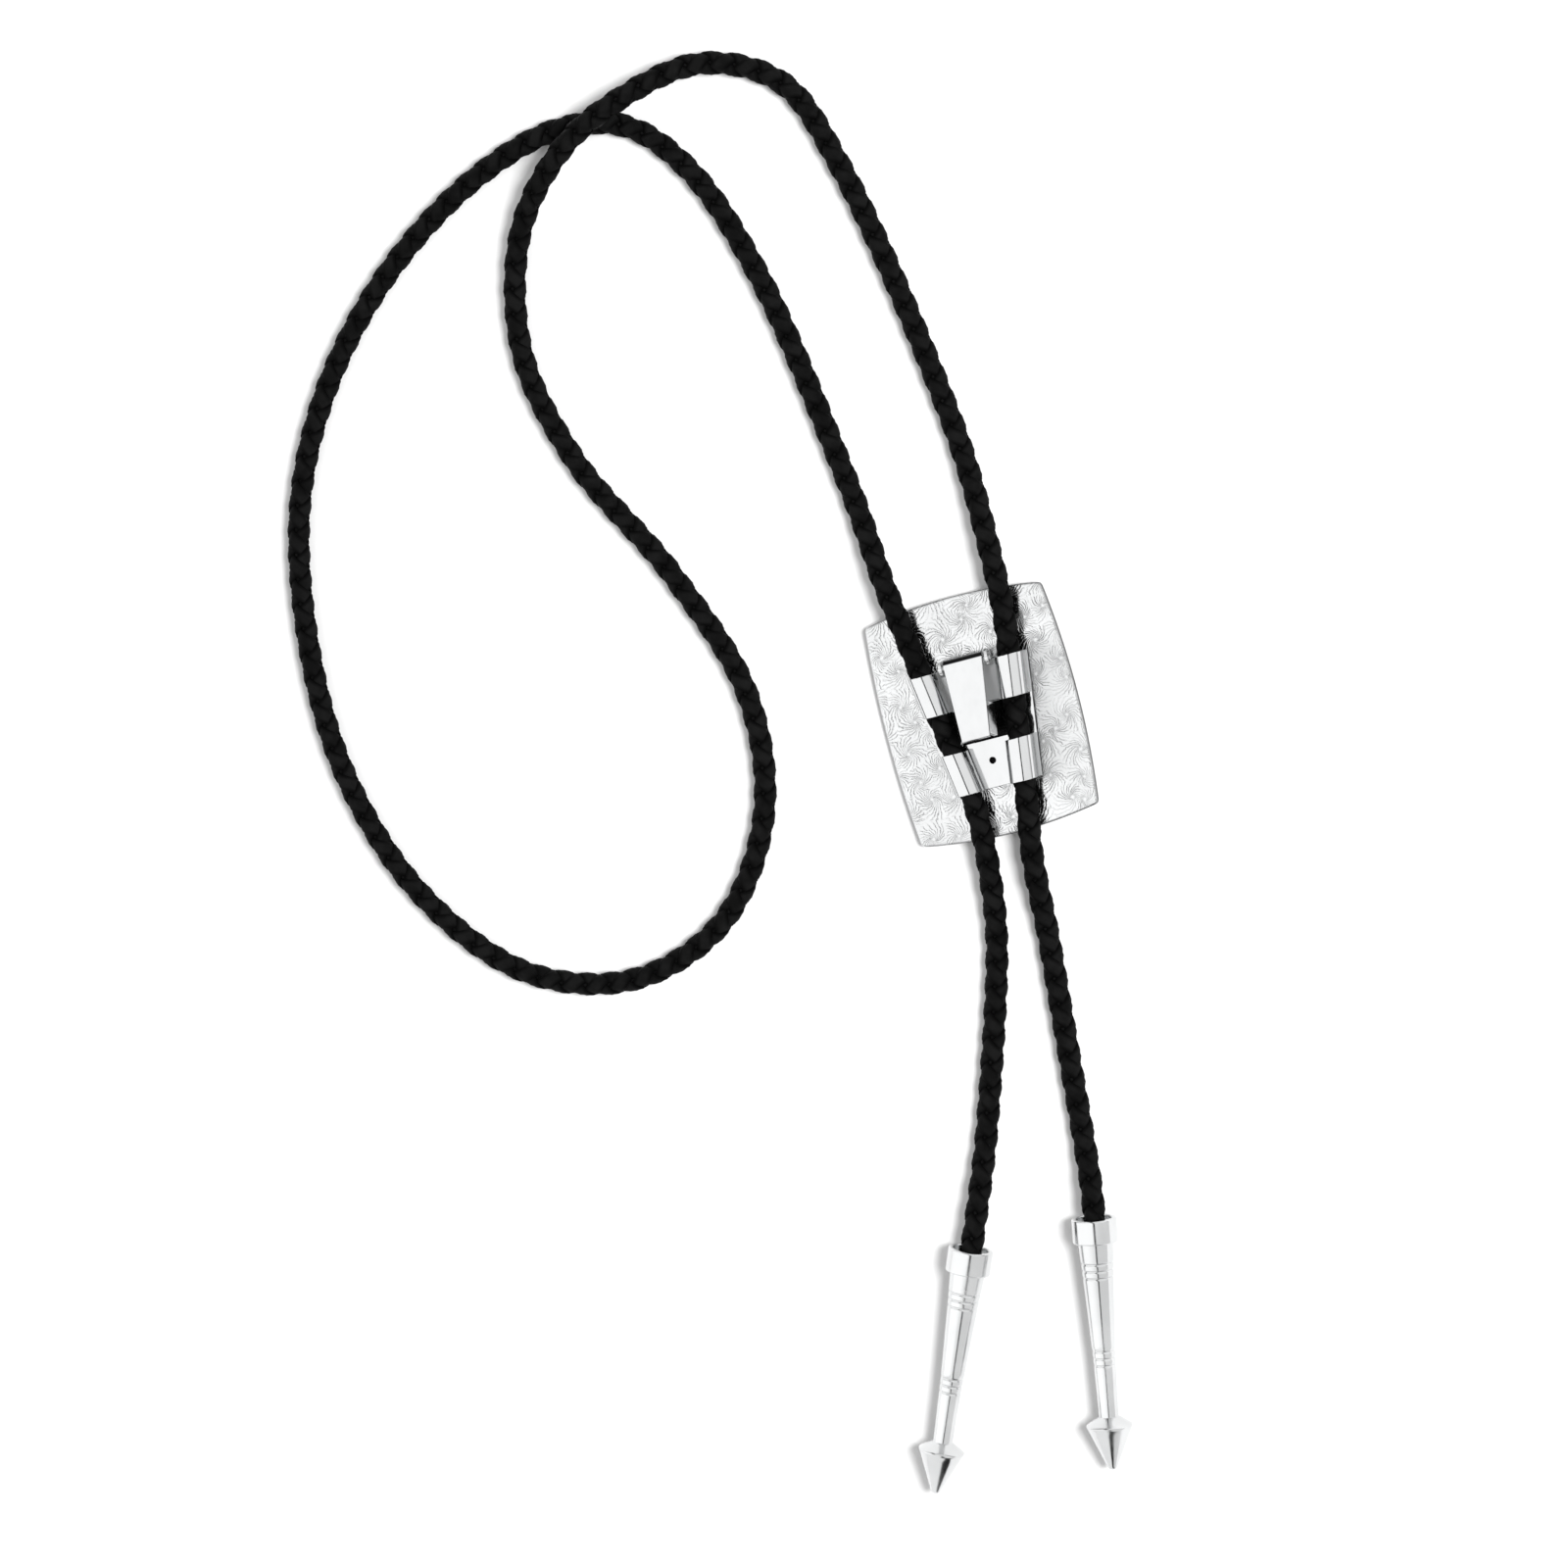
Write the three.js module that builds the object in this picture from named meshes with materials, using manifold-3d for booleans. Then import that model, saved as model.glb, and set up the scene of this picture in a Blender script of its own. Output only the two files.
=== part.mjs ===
// A bolo tie lying face down: a domed slide plate with a lever clip on its back, and a braided
// cord that runs through the clip's four tubes and ends in two pointed metal tips.
// Millimetres, +Z up. The origin is the lowest point of the plate, at the middle of its face.
// +Y points to the top of the plate and +X to the right as the back is seen.
import * as THREE from "three";
import { mergeVertices } from "three/addons/utils/BufferGeometryUtils.js";
import Module from "manifold-3d";

const wasm = await Module();
wasm.setup();

// Cord
const CORD_DIAMETER = 4.0;
const CORD_SIDES = 10;
const CORD_STEPS = 80;

// Slide plate
const PLATE_WIDTH = 35.8;
const PLATE_HEIGHT = 43.9;
const PLATE_SIDE_BULGE = 1.2;
const PLATE_END_BULGE = 1.5;
const PLATE_CORNER_RADIUS = 0.7;
const PLATE_THICKNESS = 1.2;
const PLATE_DOME_RADIUS = 300;
const PLATE_FLAT_RADIUS = 6;

// Clip frame: one bent sheet with a window, two hinge ears and four rolled tubes
const CLIP_SEAT_CLEARANCE = 0.35;
const FRAME_SHEET = 0.4;
const TUBE_FIT = 0.2;
const TUBE_TOP_SPREAD = 8.18;
const TUBE_SLOPE = 0.1374;
const FRAME_TOP = 9.4;
const FRAME_BOTTOM = -13.1;
const UPPER_TUBE_END = 1.9;
const LOWER_TUBE_START = -5.4;
const STRIP_BEYOND_TUBE = 0.35;
const WINDOW_HALF_WIDTH = 4.6;
const WINDOW_TOP = 1.9;
const WINDOW_BOTTOM = -4.5;
const RIVET_HOLE_DIAMETER = 1.2;
const RIVET_HOLE_Y = -8.3;

// Lever and its hinge
const LEVER_HINGE_WIDTH = 7.3;
const LEVER_END_WIDTH = 5.2;
const LEVER_LENGTH = 15;
const LEVER_SHEET = 0.7;
const LEVER_REST_ANGLE = 22;
const LEVER_CORNER_RADIUS = 0.5;
const CAM_LENGTH = 6.2;
const CAM_DEPTH = 2.4;
const CAM_SPLAY = 20;
const CAM_SETBACK = 0.6;
const PIN_DIAMETER = 1.0;
const PIN_FIT = 0.2;
const PIN_Y = 9.7;
const PIN_HEIGHT_OVER_SHEET = 2.4;
const PIN_OVERHANG = 0.4;
const EAR_THICKNESS = 0.6;
const EAR_SIDE_CLEARANCE = 0.4;
const EAR_RADIUS = 1.4;
const KNUCKLE_OPEN_FROM = 200;
const KNUCKLE_OPEN_TO = 250;

// Cord tips
const TIP_LENGTH = 46;
const COLLAR_RADIUS = 4.1;
const COLLAR_LENGTH = 4.4;
const COLLAR_EDGE = 0.3;
const MOUTH_RADIUS = 3.2;
const MOUTH_DEPTH = 1.6;
const SOCKET_FIT = 0.2;
const SOCKET_DEPTH = 12;
const BODY_TOP_RADIUS = 3.2;
const BODY_END_RADIUS = 1.8;
const BODY_CURVE = 1.5;
const BODY_STEPS = 8;
const GROOVE_BANDS = [9.4, 25.4];
const GROOVES_PER_BAND = 3;
const GROOVE_PITCH = 1.3;
const GROOVE_WIDTH = 0.6;
const GROOVE_DEPTH = 0.22;
const HEAD_START = 36.1;
const HEAD_RADIUS = 4.2;
const HEAD_SLOPE_LENGTH = 1.5;
const HEAD_EDGE = 0.4;
const NOSE_RADIUS = 1.0;
const TIP_SEGMENTS = 24;
const LEFT_TIP = { x: -26.4, y: -92.9, heading: 23.3 };
const RIGHT_TIP = { x: -3.0, y: -92.3, heading: 10.5 };

// The cord's centreline from the left tip, up through the left tubes, round the neck loop,
// down through the right tubes and into the right tip
const CORD_ROUTE = [
  [-31, -103.6, 4.2],
  [-24.4, -88.4, 4.0],
  [-18.5, -73, 2.0],
  [-8.0, -41, 2.0],
  [-5.4, -27, 3.8],
  [-4.8, -15.4, 4.5],
  [-5.93, -7, 4.5],
  [-9.1, 16, 4.5],
  [-10.6, 27, 4.3],
  [-12.6, 45, 2.0],
  [-19, 87, 2.0],
  [-26.5, 108.6, 2.0],
  [-35.7, 119.3, 2.0],
  [-48, 122.4, 2.0],
  [-65, 118.6, 2.0],
  [-86, 106.8, 2.0],
  [-103.5, 89.7, 2.0],
  [-115, 69.5, 2.0],
  [-120.5, 43, 2.0],
  [-119.8, 18, 2.0],
  [-111.5, -6.2, 2.0],
  [-95.5, -24.9, 2.0],
  [-75.5, -31, 2.0],
  [-56.3, -24.6, 2.0],
  [-43.7, -7.5, 2.0],
  [-40.9, 14, 2.0],
  [-48.9, 39.1, 2.0],
  [-61.3, 64.2, 2.0],
  [-65.6, 86, 2.0],
  [-59.8, 106, 3.4],
  [-47.6, 117.9, 6.4],
  [-34.9, 123.6, 6.4],
  [-19, 126, 3.0],
  [-5.9, 118.7, 2.0],
  [0.6, 101.5, 2.0],
  [8.6, 51, 2.0],
  [9.6, 28, 4.3],
  [9.1, 16, 4.5],
  [7.86, 7, 4.5],
  [4.8, -15.4, 4.5],
  [2.9, -27, 4.0],
  [1.6, -42, 2.0],
  [-1.5, -78, 2.2],
  [-2.2, -88, 4.1],
  [-5.1, -103.8, 4.2],
];

// Sizes that follow from the ones above
const cordRadius = CORD_DIAMETER / 2;
const tubeBore = cordRadius + TUBE_FIT;
const tubeRadius = tubeBore + FRAME_SHEET;
const tubeSpread = (y) => TUBE_TOP_SPREAD - TUBE_SLOPE * (FRAME_TOP - y);
const stripHalfWidth = (y) => tubeSpread(y) + tubeRadius + STRIP_BEYOND_TUBE;
const farthestFoot = Math.max(
  Math.hypot(stripHalfWidth(FRAME_TOP), FRAME_TOP),
  Math.hypot(stripHalfWidth(FRAME_BOTTOM), FRAME_BOTTOM),
);
const domeDrop = (r) => PLATE_DOME_RADIUS - Math.sqrt(PLATE_DOME_RADIUS ** 2 - r ** 2);
const plateRise = (r) => domeDrop(r) - domeDrop(PLATE_FLAT_RADIUS);
const frameZ = PLATE_THICKNESS + plateRise(farthestFoot) + CLIP_SEAT_CLEARANCE;
const sheetTop = frameZ + FRAME_SHEET;
const tubeZ = frameZ + tubeRadius;
const pinRadius = PIN_DIAMETER / 2;
const pinZ = sheetTop + PIN_HEIGHT_OVER_SHEET;
const knuckleBore = pinRadius + PIN_FIT;
const knuckleRadius = knuckleBore + LEVER_SHEET;
const earInner = LEVER_HINGE_WIDTH / 2 + EAR_SIDE_CLEARANCE;
const earOuter = earInner + EAR_THICKNESS;
const pinLength = 2 * (earOuter + PIN_OVERHANG);
const socketRadius = cordRadius + SOCKET_FIT;

const radians = THREE.MathUtils.degToRad;

const silver = () => new THREE.MeshStandardMaterial({ color: 0xd6d7d9, roughness: 0.16, metalness: 1 });
const steel = () => new THREE.MeshStandardMaterial({ color: 0xc4c7ca, roughness: 0.22, metalness: 1 });
const leather = () => new THREE.MeshStandardMaterial({ color: 0x141415, roughness: 0.55, metalness: 0 });

function solidFrom(geometry) {
  const bare = geometry.clone();
  bare.deleteAttribute("normal");
  bare.deleteAttribute("uv");
  const merged = mergeVertices(bare, 1e-4);
  return new wasm.Manifold(
    new wasm.Mesh({
      numProp: 3,
      vertProperties: new Float32Array(merged.attributes.position.array),
      triVerts: new Uint32Array(merged.index.array),
    }),
  );
}

function geometryFrom(solid) {
  const mesh = solid.getMesh();
  const geometry = new THREE.BufferGeometry();
  geometry.setAttribute("position", new THREE.BufferAttribute(mesh.vertProperties, 3));
  geometry.setIndex(new THREE.BufferAttribute(mesh.triVerts, 1));
  const flat = geometry.toNonIndexed();
  flat.computeVertexNormals();
  return flat;
}

function joined(geometries) {
  return geometries.map(solidFrom).reduce((whole, piece) => whole.add(piece));
}

function named(name, geometry, material) {
  const mesh = new THREE.Mesh(geometry, material);
  mesh.name = name;
  return mesh;
}

function extruded(shape, depth, curveSegments = 8) {
  return new THREE.ExtrudeGeometry(shape, { depth, bevelEnabled: false, curveSegments });
}

// A shape drawn in the Y-Z plane and extruded along X, centred on x = 0
function extrudedAlongX(shape, width, curveSegments) {
  const geometry = extruded(shape, width, curveSegments);
  geometry.translate(0, 0, -width / 2);
  geometry.applyMatrix4(
    new THREE.Matrix4().makeBasis(
      new THREE.Vector3(0, 1, 0),
      new THREE.Vector3(0, 0, 1),
      new THREE.Vector3(1, 0, 0),
    ),
  );
  return geometry;
}

function roundHole(shape, x, y, radius) {
  const hole = new THREE.Path();
  hole.absarc(x, y, radius, 0, 2 * Math.PI, true);
  shape.holes.push(hole);
}

// The plate's outline: four bowed sides between small round corners
function plateOutline() {
  const w = PLATE_WIDTH / 2 - PLATE_SIDE_BULGE;
  const h = PLATE_HEIGHT / 2 - PLATE_END_BULGE;
  const r = PLATE_CORNER_RADIUS;
  const outline = new THREE.Shape();
  outline.moveTo(w, -h + r);
  outline.quadraticCurveTo(w + 2 * PLATE_SIDE_BULGE, 0, w, h - r);
  outline.quadraticCurveTo(w, h, w - r, h);
  outline.quadraticCurveTo(0, h + 2 * PLATE_END_BULGE, -w + r, h);
  outline.quadraticCurveTo(-w, h, -w, h - r);
  outline.quadraticCurveTo(-w - 2 * PLATE_SIDE_BULGE, 0, -w, -h + r);
  outline.quadraticCurveTo(-w, -h, -w + r, -h);
  outline.quadraticCurveTo(0, -h - 2 * PLATE_END_BULGE, w - r, -h);
  outline.quadraticCurveTo(w, -h, w, -h + r);
  return outline;
}

// The plate: its outline cut from a shallow dome that is flat at the middle
function slidePlate() {
  const reach = Math.hypot(PLATE_WIDTH, PLATE_HEIGHT) / 2;
  const rings = 10;
  const radii = Array.from(
    { length: rings + 1 },
    (_, i) => PLATE_FLAT_RADIUS + ((reach - PLATE_FLAT_RADIUS) * i) / rings,
  );
  const face = radii.map((r) => new THREE.Vector2(r, plateRise(r)));
  const back = radii.map((r) => new THREE.Vector2(r, plateRise(r) + PLATE_THICKNESS)).reverse();
  const profile = [
    new THREE.Vector2(0, 0),
    ...face,
    ...back,
    new THREE.Vector2(0, PLATE_THICKNESS),
  ];
  const dome = new THREE.LatheGeometry(profile, 40);
  dome.rotateX(Math.PI / 2);
  const blockDepth = 2 * (plateRise(reach) + PLATE_THICKNESS);
  const block = extruded(plateOutline(), blockDepth, 10);
  block.translate(0, 0, -blockDepth / 4);
  const plate = solidFrom(dome).intersect(solidFrom(block));
  return named("slide_plate", geometryFrom(plate), silver());
}

// A rolled tube beside the clip's middle, its ends cut square to the plate
function rolledTube(side, bottom, top) {
  const ring = new THREE.Shape();
  ring.absarc(0, 0, tubeRadius, 0, 2 * Math.PI, false);
  roundHole(ring, 0, 0, tubeBore);
  const tube = extruded(ring, top - bottom, 12);
  tube.rotateX(-Math.PI / 2);
  tube.applyMatrix4(new THREE.Matrix4().makeShear(0, 0, side * TUBE_SLOPE, 0, 0, 0));
  tube.translate(side * tubeSpread(bottom), bottom, tubeZ);
  return tube;
}

function frameSheet() {
  const earTop = PIN_Y + EAR_RADIUS;
  const sheet = new THREE.Shape();
  sheet.moveTo(-stripHalfWidth(FRAME_BOTTOM), FRAME_BOTTOM);
  sheet.lineTo(stripHalfWidth(FRAME_BOTTOM), FRAME_BOTTOM);
  sheet.lineTo(stripHalfWidth(FRAME_TOP), FRAME_TOP);
  sheet.lineTo(earOuter, FRAME_TOP);
  sheet.lineTo(earOuter, earTop);
  sheet.lineTo(-earOuter, earTop);
  sheet.lineTo(-earOuter, FRAME_TOP);
  sheet.lineTo(-stripHalfWidth(FRAME_TOP), FRAME_TOP);
  sheet.closePath();
  const window = new THREE.Path();
  window.moveTo(-WINDOW_HALF_WIDTH, WINDOW_BOTTOM);
  window.lineTo(-WINDOW_HALF_WIDTH, WINDOW_TOP);
  window.lineTo(WINDOW_HALF_WIDTH, WINDOW_TOP);
  window.lineTo(WINDOW_HALF_WIDTH, WINDOW_BOTTOM);
  window.closePath();
  sheet.holes.push(window);
  roundHole(sheet, 0, RIVET_HOLE_Y, RIVET_HOLE_DIAMETER / 2);
  const geometry = extruded(sheet, FRAME_SHEET, 8);
  geometry.translate(0, 0, frameZ);
  return geometry;
}

function hingeEar(side) {
  const ear = new THREE.Shape();
  ear.moveTo(PIN_Y - EAR_RADIUS, frameZ);
  ear.lineTo(PIN_Y + EAR_RADIUS, frameZ);
  ear.lineTo(PIN_Y + EAR_RADIUS, pinZ);
  ear.absarc(PIN_Y, pinZ, EAR_RADIUS, 0, Math.PI, false);
  ear.closePath();
  roundHole(ear, PIN_Y, pinZ, pinRadius + PIN_FIT);
  const geometry = extrudedAlongX(ear, EAR_THICKNESS, 6);
  geometry.translate(side * (earInner + EAR_THICKNESS / 2), 0, 0);
  return geometry;
}

function clipFrame() {
  const pieces = [frameSheet()];
  for (const side of [-1, 1]) {
    pieces.push(rolledTube(side, UPPER_TUBE_END, FRAME_TOP));
    pieces.push(rolledTube(side, FRAME_BOTTOM, LOWER_TUBE_START));
    pieces.push(hingeEar(side));
  }
  return named("clip_frame", geometryFrom(joined(pieces)), steel());
}

// The lever is drawn flat with the pin's axis at the origin and its free end along -Y
function leverSheet() {
  const a = LEVER_HINGE_WIDTH / 2;
  const b = LEVER_END_WIDTH / 2;
  const r = LEVER_CORNER_RADIUS;
  const outline = new THREE.Shape();
  outline.moveTo(-a, 0);
  outline.lineTo(-b, -LEVER_LENGTH + r);
  outline.quadraticCurveTo(-b, -LEVER_LENGTH, -b + r, -LEVER_LENGTH);
  outline.lineTo(b - r, -LEVER_LENGTH);
  outline.quadraticCurveTo(b, -LEVER_LENGTH, b, -LEVER_LENGTH + r);
  outline.lineTo(a, 0);
  outline.closePath();
  const geometry = extruded(outline, LEVER_SHEET, 3);
  geometry.translate(0, 0, knuckleBore);
  return geometry;
}

// The knuckle is curled from the sheet round the pin, open on its underside
function leverKnuckle() {
  const from = radians(KNUCKLE_OPEN_TO - 360);
  const to = radians(KNUCKLE_OPEN_FROM);
  const curl = new THREE.Shape();
  curl.absarc(0, 0, knuckleRadius, from, to, false);
  curl.absarc(0, 0, knuckleBore, to, from, true);
  curl.closePath();
  return extrudedAlongX(curl, LEVER_HINGE_WIDTH, 14);
}

// A cam: the strip of the lever's side that is turned down to press on the cord
function leverCam(side) {
  const taper = Math.atan((LEVER_HINGE_WIDTH - LEVER_END_WIDTH) / 2 / LEVER_LENGTH);
  const halfWidth = LEVER_END_WIDTH / 2 + (CAM_SETBACK + CAM_LENGTH) * Math.tan(taper);
  const start = -LEVER_LENGTH + CAM_SETBACK + CAM_LENGTH;
  const strip = new THREE.BoxGeometry(LEVER_SHEET, CAM_LENGTH, CAM_DEPTH);
  strip.translate((-side * LEVER_SHEET) / 2, -CAM_LENGTH / 2, -CAM_DEPTH / 2);
  strip.rotateY(radians(-side * CAM_SPLAY));
  strip.rotateZ(-side * taper);
  strip.translate(side * halfWidth, start, knuckleRadius - LEVER_SHEET / 4);
  return strip;
}

function lever() {
  const solid = joined([leverSheet(), leverKnuckle(), leverCam(1), leverCam(-1)]);
  const mesh = named("lever", geometryFrom(solid), steel());
  mesh.position.set(0, PIN_Y, pinZ);
  mesh.rotation.x = -radians(LEVER_REST_ANGLE);
  return mesh;
}

function hingePin() {
  const pin = new THREE.CylinderGeometry(pinRadius, pinRadius, pinLength, 12);
  pin.rotateZ(Math.PI / 2);
  const mesh = named("hinge_pin", pin, steel());
  mesh.position.set(0, PIN_Y, pinZ);
  return mesh;
}

function bodyRadius(s) {
  const t = (s - COLLAR_LENGTH) / (HEAD_START - COLLAR_LENGTH);
  return BODY_END_RADIUS + (BODY_TOP_RADIUS - BODY_END_RADIUS) * (1 - t) ** BODY_CURVE;
}

// Places along a tip, from its mouth, where the three points of each groove lie
function groovePoints() {
  const points = [];
  for (const middle of GROOVE_BANDS) {
    for (let i = 0; i < GROOVES_PER_BAND; i++) {
      const s = middle + (i - (GROOVES_PER_BAND - 1) / 2) * GROOVE_PITCH;
      points.push([s - GROOVE_WIDTH / 2, bodyRadius(s - GROOVE_WIDTH / 2)]);
      points.push([s, bodyRadius(s) - GROOVE_DEPTH]);
      points.push([s + GROOVE_WIDTH / 2, bodyRadius(s + GROOVE_WIDTH / 2)]);
    }
  }
  return points;
}

function bodyPoints() {
  const grooves = groovePoints();
  const bandReach = (GROOVES_PER_BAND * GROOVE_PITCH) / 2;
  const plain = [];
  for (let i = 0; i <= BODY_STEPS; i++) {
    const s = COLLAR_LENGTH + ((HEAD_START - COLLAR_LENGTH) * i) / BODY_STEPS;
    if (GROOVE_BANDS.every((middle) => Math.abs(s - middle) > bandReach)) {
      plain.push([s, bodyRadius(s)]);
    }
  }
  return [...grooves, ...plain].sort((a, b) => a[0] - b[0]);
}

// The rounded nose ends the head's cone
function nosePoints() {
  const points = [];
  for (const degrees of [20, 45, 70]) {
    const turn = radians(degrees);
    points.push([
      TIP_LENGTH - NOSE_RADIUS + NOSE_RADIUS * Math.sin(turn),
      NOSE_RADIUS * Math.cos(turn),
    ]);
  }
  return points;
}

// A tip lies along the surface with its mouth at its place and its point in its heading
function cordTip(name, place) {
  const shoulder = HEAD_START + HEAD_SLOPE_LENGTH;
  const outline = [
    [SOCKET_DEPTH, 0],
    [SOCKET_DEPTH, socketRadius],
    [MOUTH_DEPTH, socketRadius],
    [MOUTH_DEPTH * 0.75, MOUTH_RADIUS],
    [0, MOUTH_RADIUS + COLLAR_EDGE / 2],
    [0, COLLAR_RADIUS - COLLAR_EDGE],
    [COLLAR_EDGE, COLLAR_RADIUS],
    [COLLAR_LENGTH - COLLAR_EDGE, COLLAR_RADIUS],
    ...bodyPoints(),
    [shoulder, HEAD_RADIUS],
    [shoulder + HEAD_EDGE, HEAD_RADIUS],
    ...nosePoints(),
    [TIP_LENGTH, 0],
  ];
  const profile = outline.map(([s, r]) => new THREE.Vector2(r, -s)).reverse();
  const geometry = new THREE.LatheGeometry(profile, TIP_SEGMENTS);
  const mesh = named(name, geometry, silver());
  mesh.position.set(place.x, place.y, Math.max(COLLAR_RADIUS, HEAD_RADIUS));
  mesh.rotation.z = -radians(place.heading);
  return mesh;
}

// A smooth curve through the route that the surface keeps from sagging below it
class LaidRoute extends THREE.CatmullRomCurve3 {
  getPoint(t, target) {
    const point = super.getPoint(t, target);
    point.z = Math.max(point.z, cordRadius);
    return point;
  }
}

function cord() {
  const path = new LaidRoute(
    CORD_ROUTE.map(([x, y, z]) => new THREE.Vector3(x, y, z)),
    false,
    "centripetal",
  );
  const section = new THREE.Shape(
    Array.from({ length: CORD_SIDES }, (_, i) => {
      const turn = (2 * Math.PI * i) / CORD_SIDES;
      return new THREE.Vector2(cordRadius * Math.cos(turn), cordRadius * Math.sin(turn));
    }),
  );
  const tube = new THREE.ExtrudeGeometry(section, { steps: CORD_STEPS, extrudePath: path });
  return named("cord", tube, leather());
}

const boloTie = new THREE.Group();
boloTie.add(slidePlate(), clipFrame(), lever(), hingePin());
boloTie.add(cord(), cordTip("tip_left", LEFT_TIP), cordTip("tip_right", RIGHT_TIP));

export default boloTie;
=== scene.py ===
"""The looks of a bolo tie that lies face down: an engraved plate with a lever clip on its back, and a
braided leather cord that ends in two pointed metal tips. Metres; +Y is the top of the plate, +Z is up."""
import math

import bmesh
import bpy
import numpy as np
from mathutils import Matrix, Vector


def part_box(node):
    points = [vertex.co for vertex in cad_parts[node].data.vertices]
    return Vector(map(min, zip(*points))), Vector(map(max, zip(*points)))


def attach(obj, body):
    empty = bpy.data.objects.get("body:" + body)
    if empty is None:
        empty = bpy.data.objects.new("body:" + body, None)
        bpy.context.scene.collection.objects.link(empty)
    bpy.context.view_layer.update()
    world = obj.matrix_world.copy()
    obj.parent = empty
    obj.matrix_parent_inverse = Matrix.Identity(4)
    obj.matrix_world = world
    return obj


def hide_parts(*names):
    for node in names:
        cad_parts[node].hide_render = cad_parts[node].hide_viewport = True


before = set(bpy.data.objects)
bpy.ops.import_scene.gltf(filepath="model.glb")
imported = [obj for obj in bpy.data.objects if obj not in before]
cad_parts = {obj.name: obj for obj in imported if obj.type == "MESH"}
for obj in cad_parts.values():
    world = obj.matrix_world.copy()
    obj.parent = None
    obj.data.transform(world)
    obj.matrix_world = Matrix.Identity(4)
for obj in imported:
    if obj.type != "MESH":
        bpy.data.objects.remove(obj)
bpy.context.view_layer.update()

MM = 0.001

# The photograph's camera, and how the tie lies in its picture
LENS = 93.15
SENSOR = 36.0
CAMERA_DISTANCE = 739.3 * MM
PICTURE_TURN = math.radians(15.25)
PICTURE_CENTRE = Vector((-39.11, -3.11, 0)) * MM
LEAN_RIGHT = 0.248
LEAN_UP = 0.089

# Studio
ROOM_LEVEL = 1.55
GAP_ANGLE = math.radians(6)
GAP_EDGE = (0.05, 0.11)
SLIT_SLANT = 0.52
SLIT_RIGHT = 0.22
SLIT_EDGE = (0.13, 0.16)
KEY_TO_RIGHT = 0.64
KEY_TO_TOP = 0.1
KEY_DISTANCE = 0.9
KEY_SIZE = 0.32
KEY_POWER = 16.0
FLOOR_REACH = 1.6
FLOOR_DROP = 0.1 * MM

# Cord: four strands, two turning each way, that pass over and under each other
CORD_DIAMETER = 4.0 * MM
BRAID_LAY = 9.2 * MM
BRAID_CIRCLE = 1.38 * MM
BRAID_WEAVE = 0.3 * MM
STRAND_HALF_THICKNESS = 0.5 * MM
STRAND_HALF_WIDTH = 1.44 * MM
POINTS_PER_LAY = 16
STRAND_SIDES = 10
PATH_STEP = 0.5 * MM
STEPS_BETWEEN_POINTS = 60

# Plate
PLATE_WIDTH = 35.8 * MM
PLATE_HEIGHT = 43.9 * MM
PLATE_SIDE_BULGE = 1.2 * MM
PLATE_END_BULGE = 1.5 * MM
PLATE_CORNER_RADIUS = 0.7 * MM
PLATE_THICKNESS = 1.2 * MM
PLATE_DOME_RADIUS = 300 * MM
PLATE_FLAT_RADIUS = 6 * MM
PLATE_EDGE_ROUND = 0.4 * MM
PLATE_CELL = 0.4 * MM
SCROLL_PITCH = 5.0 * MM
SCROLL_CUTS = 20
SCROLL_TWIST = 1.0
CUT_DEPTH = 0.045 * MM
HINGE_SHADE_TOP = 11.3 * MM
BESIDE_SHADE = 0.42
BESIDE_REACH = 10 * MM

# Clip frame
FRAME_SHEET = 0.4 * MM
FRAME_EDGE = 0.06 * MM
TUBE_BORE = 2.2 * MM
TUBE_TOP_SPREAD = 8.18 * MM
TUBE_SLOPE = 0.1374
FRAME_TOP = 9.4 * MM
FRAME_BOTTOM = -13.1 * MM
UPPER_TUBE_END = 1.9 * MM
LOWER_TUBE_START = -5.4 * MM
STRIP_BEYOND_TUBE = 0.35 * MM
WINDOW_HALF_WIDTH = 4.6 * MM
WINDOW_TOP = 1.9 * MM
WINDOW_BOTTOM = -4.5 * MM
RIVET_HOLE_RADIUS = 0.6 * MM
RIVET_HOLE_Y = -8.3 * MM
HINGE_BED_TOP = 2.4 * MM

# Lever and hinge
LEVER_HINGE_WIDTH = 7.3 * MM
LEVER_END_WIDTH = 5.2 * MM
LEVER_LENGTH = 15 * MM
LEVER_SHEET = 0.7 * MM
LEVER_REST_ANGLE = math.radians(22)
LEVER_EDGE = 0.12 * MM
CAM_LENGTH = 6.2 * MM
CAM_DEPTH = 2.4 * MM
CAM_SPLAY = math.radians(20)
CAM_SETBACK = 0.6 * MM
CAM_BEND = 0.45 * MM
CAM_ROOT = 1.1 * MM
PIN_RADIUS = 0.5 * MM
PIN_FIT = 0.2 * MM
PIN_DOME = 0.16 * MM
EAR_THICKNESS = 0.6 * MM
EAR_SIDE_CLEARANCE = 0.4 * MM
EAR_RADIUS = 1.4 * MM
CURL_END = math.radians(-110)

# Cord tips
TIP_LENGTH = 46 * MM
COLLAR_RADIUS = 4.1 * MM
COLLAR_LENGTH = 4.4 * MM
COLLAR_EDGE = 0.3 * MM
MOUTH_RADIUS = 3.2 * MM
SOCKET_RADIUS = 2.2 * MM
SOCKET_DEPTH = 12 * MM
MOUTH_DEPTH = 1.6 * MM
BODY_TOP_RADIUS = 3.2 * MM
BODY_END_RADIUS = 1.8 * MM
BODY_CURVE = 1.5
GROOVE_BANDS = (9.4 * MM, 25.4 * MM)
GROOVES_PER_BAND = 3
GROOVE_PITCH = 1.3 * MM
GROOVE_WIDTH = 0.6 * MM
GROOVE_DEPTH = 0.16 * MM
HEAD_START = 36.1 * MM
HEAD_RADIUS = 4.2 * MM
HEAD_SLOPE_LENGTH = 1.5 * MM
HEAD_EDGE = 0.4 * MM
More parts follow.
